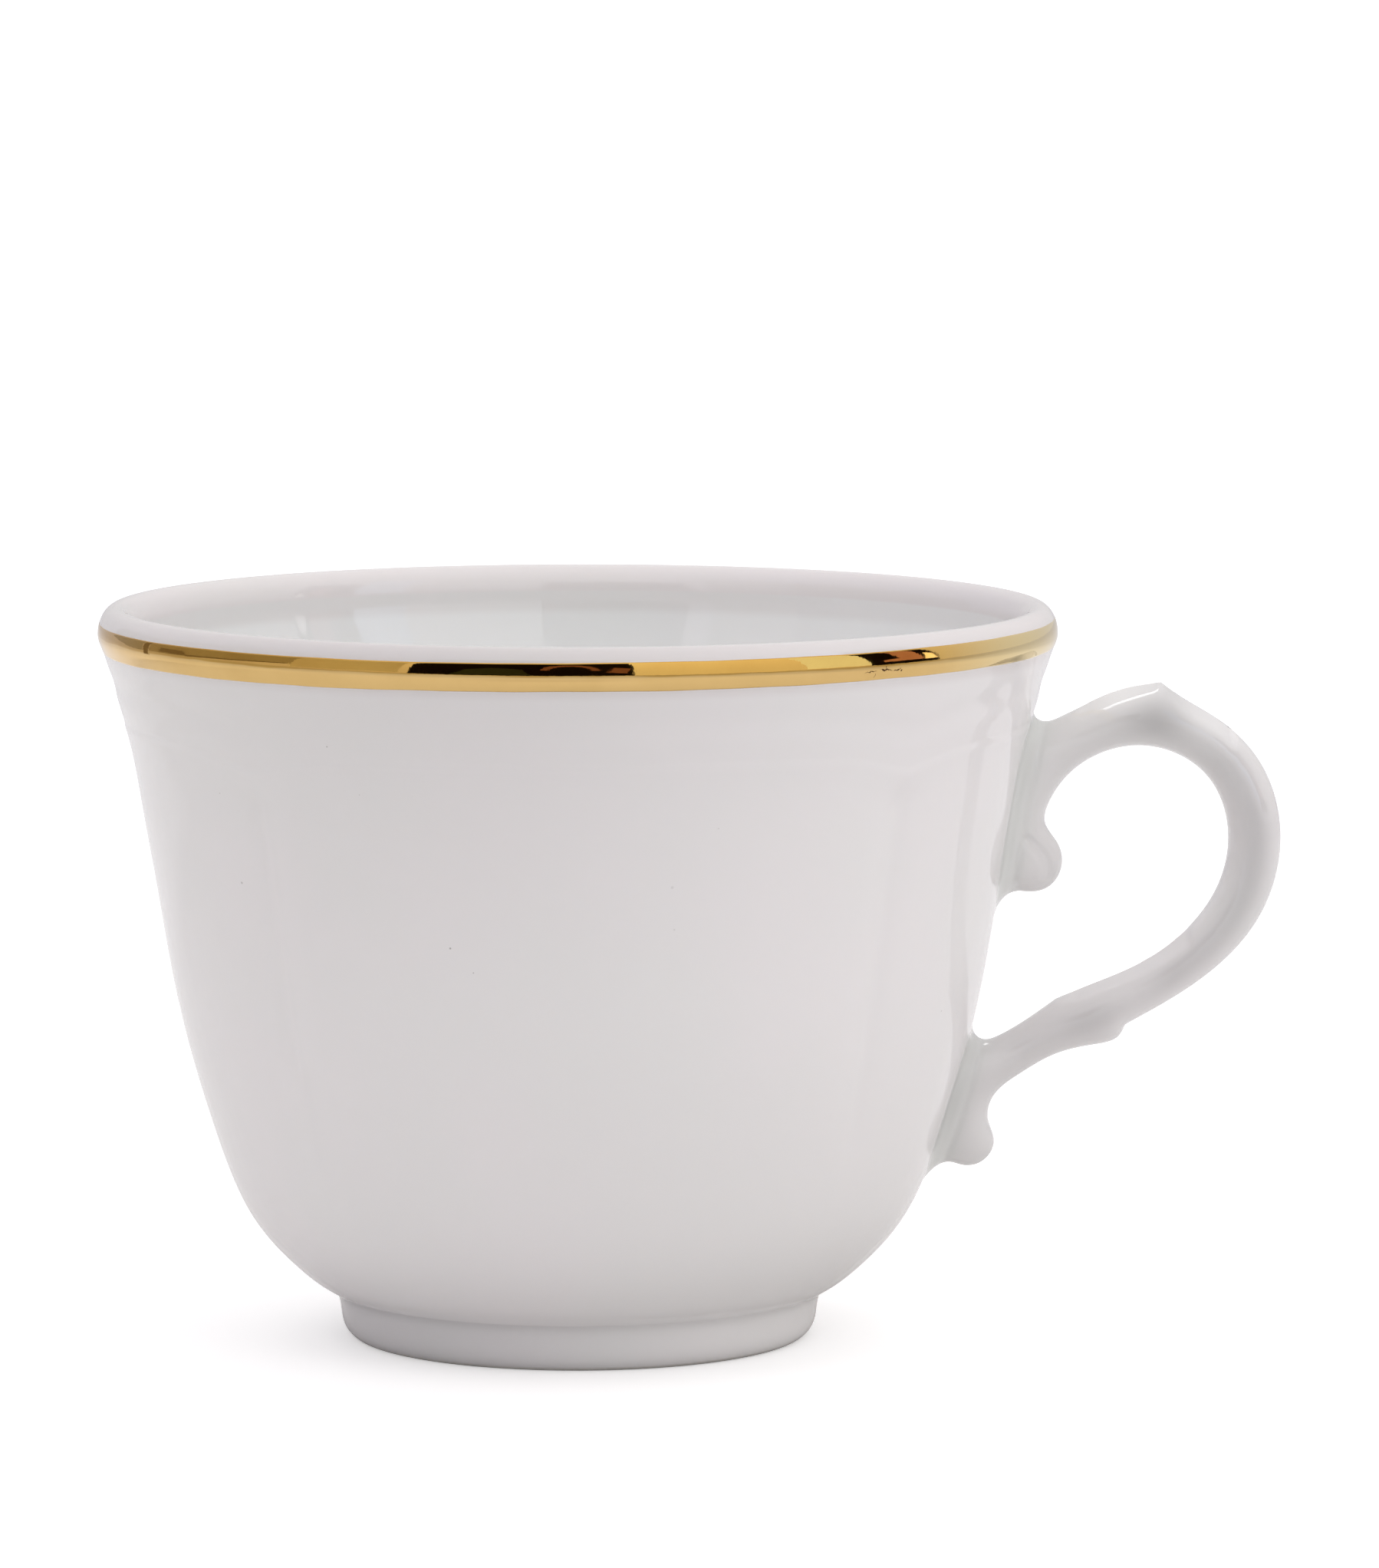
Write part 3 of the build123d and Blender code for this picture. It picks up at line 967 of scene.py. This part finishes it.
def gold_material():
    """Fired gold with painted reflections: paler below the widest ring, darker and redder over the lip, paler
    towards the handle; with a few wear marks.
    """
    material, nodes, links, shader = new_material("fired_gold")
    coord = object_place(nodes)
    # painted reflection: the gold is paler where it faces down and darker where it faces up
    below = clouded(nodes, links, coord, GOLD_CLOUDS, GOLD_LIT_BELOW)
    above = clouded(nodes, links, coord, GOLD_CLOUDS, GOLD_DIM_ABOVE)
    drift = noise(nodes, links, coord, GOLD_DRIFT_SCALE, 3.0)
    level = along_axis(nodes, links, coord, "Z")
    height = calculate(nodes, links, "MULTIPLY_ADD", drift, GOLD_DRIFT * MM, level)
    low, high = (MM * (WIDEST_HEIGHT + rise) for rise in GOLD_CHANGE)
    colour = mix_colour(nodes, links, map_range(nodes, links, height, low, high, 0.0, 1.0), below, above)
    start, end = (MM * x for x in GOLD_PALE_REFLECTION_RUN)
    across = along_axis(nodes, links, coord, "X")
    # painted reflection: the gold is painted paler towards the handle
    thin = map_range(nodes, links, across, start, end, 0.0, GOLD_PALE_REFLECTION_SHARE)
    colour = mix_colour(nodes, links, thin, colour, GOLD_PALE_REFLECTION)
    colour = mix_colour(nodes, links, wear_mask(nodes, links, coord), colour, WORN)
    links.new(colour, shader.inputs["Base Color"])
    shader.inputs["Metallic"].default_value = 1.0
    vary_roughness(nodes, links, shader, coord, *GOLD_GLOSS)
    ripple(nodes, links, shader, coord, *GOLD_RIPPLE)
    return material


def make_matt(shader):
    shader.inputs["Roughness"].default_value = 0.9
    shader.inputs["Specular IOR Level"].default_value = 0.0


def matt_material(name, colour):
    material, nodes, links, shader = new_material(name)
    cloud = noise(nodes, links, object_place(nodes), 6.0, 3.0)
    darker = tuple(0.97 * c for c in colour)
    links.new(mix_colour(nodes, links, cloud, colour, darker), shader.inputs["Base Color"])
    make_matt(shader)
    return material


def bounce_material():
    """The floor as the cup sees it: brightest some way off, greyer far away, and greyer close to the cup,
    where the cup's shadow is painted in.
    """
    material, nodes, links, shader = new_material("grey_floor")
    away = nodes.new("ShaderNodeVectorMath")
    away.operation = "LENGTH"
    links.new(object_place(nodes), away.inputs[0])
    leave = map_range(nodes, links, away.outputs["Value"], *FLOOR_LEAVE, 0.0, 1.0)
    fade = map_range(nodes, links, away.outputs["Value"], *FLOOR_FADE, 0.0, 1.0)
    # painted shadow of the cup on the floor close to it
    bright = mix_colour(nodes, links, leave, FLOOR_PAINTED_SHADOW, FLOOR_BRIGHT)
    links.new(mix_colour(nodes, links, fade, bright, FLOOR_FAR), shader.inputs["Base Color"])
    make_matt(shader)
    return material


# ---- stage ----
FLOOR_LINES = (-40000, -3000, -600, -150, 0, 150, 600, 3000, 40000)
FLOOR_LIFT = 0.02           # the floor that the camera sees lies this much over the one that the cup sees
FLOOR_TONE = (0.90, 0.90, 0.90)
FLOOR_GLOW = 0.38           # makes it as white as the photograph's
FLOOR_PAINTED_SHADOW = (0.75, 0.74, 0.73)            # the floor that the cup sees: close to it, with the cup's shadow painted in
FLOOR_BRIGHT = (0.765, 0.76, 0.755)         # farther off
FLOOR_FAR = (0.61, 0.61, 0.62)              # and far away
FLOOR_LEAVE = (0.03, 0.11)  # distances in m over which it passes from close to bright
FLOOR_FADE = (0.2, 0.6)     # and from bright to far

CAMERA_AWAY = 0.800         # m
CAMERA_UP = 0.1411
CAMERA_DOWN = 6.345         # degrees
CAMERA_ASIDE = 0.749
CAMERA_LENS = 196.5

# The studio's brightness from one end of each axis to the other. They are multiplied.
LIGHT_UP = (1.05, 1.37)     # from the horizon up
LIGHT_UP_END = 0.9          # full at this share of straight up
LIGHT_DEPTH = (1.22, 0.80)  # from the camera's side to the back
LIGHT_ACROSS = (0.74, 0.88)                 # from the left to the right
LIGHT_COLOUR = (1.008, 0.988, 0.988)
LIGHT_LEFT = (0.974, 0.948, 1.068)          # its colour from the far left

SOFTBOX_SIZE = (0.90, 0.30)  # m
SOFTBOX_STRENGTH = 3.6      # radiance
SOFTBOX_AIM = (0.05, 0.0, 0.06)
SOFTBOX_AWAY = 1.1
SOFTBOX_DIRECTION = (-0.265, 0.508, 0.819)


def floor_piece():
    """A white floor that only the camera sees, and the one that lights the cup, which is returned."""
    x, y = np.meshgrid(FLOOR_LINES, FLOOR_LINES)
    points = np.stack([x.ravel(), y.ravel(), np.zeros(x.size)], axis=1)
    count = len(FLOOR_LINES)
    squares = [(i, j) for j in range(count - 1) for i in range(count - 1)]
    corners = ((0, 0), (1, 0), (1, 1), (0, 1))
    faces = [[(j + up) * count + i + right for right, up in corners] for i, j in squares]
    floor = make_piece("floor", points, faces, matt_material("pale_floor", FLOOR_TONE))
    floor.location.z = FLOOR_LIFT * MM
    glow(floor.data.materials[0], (1.0, 1.0, 1.0), FLOOR_GLOW)
    floor.visible_diffuse = floor.visible_glossy = floor.visible_shadow = False
    bounce = make_piece("floor_bounce", points, faces, bounce_material())
    bounce.visible_camera = False
    return bounce


def card(name, line, outline, material, nearer=0.0):
    """An upright card that the camera doesn't see. It stands on a line of the floor, and outline gives its
    corners as (share of the line, height). nearer moves it towards the axis by that share."""
    start, end = np.array(line, float)
    points = [(*((start + share * (end - start)) * (1 - nearer)), height) for share, height in outline]
    piece = make_piece(name, points, [list(range(len(points)))], material)
    piece.visible_camera = False
    return piece


def oblong(low, high):
    """A whole line's oblong card, from one height to another."""
    return [(0, low), (1, low), (1, high), (0, high)]


def arch(low, high, start, end, width=0.3, steps=12):
    """A round arch with a hollow middle, as a card's outline."""
    middle, half, rise = (start + end) / 2, (end - start) / 2, high - low
    turn = np.linspace(0, np.pi, steps)
    circle = [(math.cos(t), math.sin(t)) for t in turn]
    outer = [(middle - half * x, low + rise * z) for x, z in circle]
    inner = [(middle - half * (1 - width) * x, low + rise * (1 - width) * z) for x, z in circle]
    return outer + inner[::-1]


def glow(material, colour, strength):
    """Makes a material give light and returns it."""
    shader = material.node_tree.nodes["Principled BSDF"]
    shader.inputs["Emission Color"].default_value = (*colour, 1.0)
    shader.inputs["Emission Strength"].default_value = strength
    return material


# Lines on the floor that the cards stand on, each from one point to another.
FRONT = ((-79, -117), (27.5, -140.5))       # a dark cabinet before the cup, left of the camera
SIDE = ((238.5, -101), (262, -10.5))        # another one on the right
WINDOW = ((238.5, -101), (203, -166))
BUFF = ((-235, -105), (-166, -203))
BROWN = ((-222, 99), (-235, -105))
POST = ((-216, 110), (-221, 100))
GREY = ((-163, 171), (-215, 111))
OVER = 0.01                 # what stands before a card is nearer by this share


def cards():
    """What stands round the studio and shows in the gold and the glaze."""
    dark = matt_material("dark_card", (0.012, 0.008, 0.006))
    copper = matt_material("copper_card", (0.34, 0.16, 0.13))
    olive = matt_material("olive_card", (0.045, 0.055, 0.04))
    tan = matt_material("tan_card", (0.80, 0.44, 0.42))
    brown = matt_material("brown_card", (0.50, 0.47, 0.40))
    umber = matt_material("umber_card", (0.30, 0.26, 0.20))
    grey = matt_material("grey_card", (0.48, 0.48, 0.48))
    buff = matt_material("buff_card", (0.88, 0.86, 0.80))
    glint = glow(matt_material("glint", (1.0, 0.95, 0.9)), (1.0, 0.95, 0.9), 1.2)
    window = glow(matt_material("window", (0.72, 0.84, 1.0)), (0.72, 0.84, 1.0), 0.95)

    card("front_card", FRONT, oblong(66, 150), dark)
    blob = [(0.2, 68), (0.55, 68), (0.5, 92), (0.38, 98), (0.27, 90)]
    card("front_olive", FRONT, blob, olive, OVER)
    card("front_arch", FRONT, arch(88, 116, 0.58, 0.84), copper, OVER)
    card("front_glint", FRONT, [(0.87, 80), (0.96, 76), (0.985, 100), (0.9, 104)], copper, OVER)

    card("side_card", SIDE, oblong(66, 230), dark)
    corner = [(0.2, 86), (0.76, 86), (0.76, 190), (0.42, 190), (0.42, 108), (0.2, 100)]
    card("side_tan", SIDE, corner, tan, OVER)
    card("side_glint", SIDE, [(0.78, 84), (0.98, 84), (0.95, 122), (0.86, 134)], glint, OVER)
    card("window_card", WINDOW, oblong(72, 290), window).visible_diffuse = False

    card("buff_wall", BUFF, oblong(72, 260), buff)
    cupboard = [(0, 62), (0.3, 66), (0.6, 78), (1, 92), (1, 240), (0, 150)]
    card("brown_cupboard", BROWN, cupboard, brown)
    card("brown_shelf", BROWN, [(0.12, 70), (0.34, 72), (0.3, 92), (0.12, 88)], umber, OVER)
    card("brown_ledge", BROWN, [(0.34, 66), (0.97, 91), (0.97, 97), (0.34, 74)], umber, OVER)
    card("brown_post", POST, oblong(40, 140), umber)
    card("grey_cupboard", GREY, [(0, 74), (0.6, 60), (1, 58), (1, 140), (0, 120)], grey)


def set_world():
    world = bpy.data.worlds.new("studio")
    bpy.context.scene.world = world
    world.use_nodes = True
    nodes, links = world.node_tree.nodes, world.node_tree.links
    back = nodes["Background"]
    direction = nodes.new("ShaderNodeTexCoord").outputs["Generated"]
    x, y, z = (along_axis(nodes, links, direction, axis) for axis in "XYZ")
    up = map_range(nodes, links, z, 0.0, LIGHT_UP_END, *LIGHT_UP)
    depth = map_range(nodes, links, y, -1.0, 1.0, *LIGHT_DEPTH)
    across = map_range(nodes, links, x, -1.0, 1.0, *LIGHT_ACROSS)
    strength = calculate(nodes, links, "MULTIPLY", calculate(nodes, links, "MULTIPLY", up, depth), across)
    links.new(strength, back.inputs["Strength"])
    left = map_range(nodes, links, x, -1.0, 0.0, 1.0, 0.0)
    links.new(mix_colour(nodes, links, left, LIGHT_COLOUR, LIGHT_LEFT), back.inputs["Color"])


def softbox(*lit):
    """A soft light overhead for the given pieces only: it draws the highlights on the handle's edges."""
    data = bpy.data.lights.new("softbox", "AREA")
    data.shape = "RECTANGLE"
    data.size, data.size_y = SOFTBOX_SIZE
    data.energy = SOFTBOX_STRENGTH * math.pi * data.size * data.size_y
    light = bpy.data.objects.new("softbox", data)
    direction = Vector(SOFTBOX_DIRECTION).normalized()
    light.location = Vector(SOFTBOX_AIM) + SOFTBOX_AWAY * direction
    light.rotation_euler = direction.to_track_quat("Z", "Y").to_euler()
    bpy.context.scene.collection.objects.link(light)
    receivers = bpy.data.collections.new("lit_by_softbox")
    for piece in lit:
        receivers.objects.link(piece)
    light.light_linking.receiver_collection = receivers


def set_camera():
    data = bpy.data.cameras.new("camera")
    data.lens = CAMERA_LENS
    data.clip_end = 200.0
    camera = bpy.data.objects.new("camera", data)
    camera.location = (0.0, -CAMERA_AWAY, CAMERA_UP)
    camera.rotation_euler = (math.radians(90 - CAMERA_DOWN), 0.0, -math.radians(CAMERA_ASIDE))
    bpy.context.scene.collection.objects.link(camera)
    bpy.context.scene.camera = camera


def build_cup():
    """Builds the four visible pieces, parents them to the root body, hides the CAD parts they replace and
    returns the handle.
    """
    handle = handle_piece(handle_material())
    pieces = (
        (bowl_piece(glaze_material()), ("bowl",), "glazed_porcelain"),
        (foot_piece(foot_material()), ("foot_ring",), "glazed_porcelain"),
        (gold_piece(gold_material()), ("rim_gilding",), "gold"),
        (handle, ("handle", "upper_slip_joint", "lower_slip_joint"), "glazed_porcelain"),
    )
    for piece, nodes, slot in pieces:
        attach(piece, "root")
        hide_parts(*nodes)
    return handle


handle = build_cup()
bounce = floor_piece()
cards()
set_world()
softbox(handle, bounce)
set_camera()
bpy.context.scene.view_settings.view_transform = "Standard"
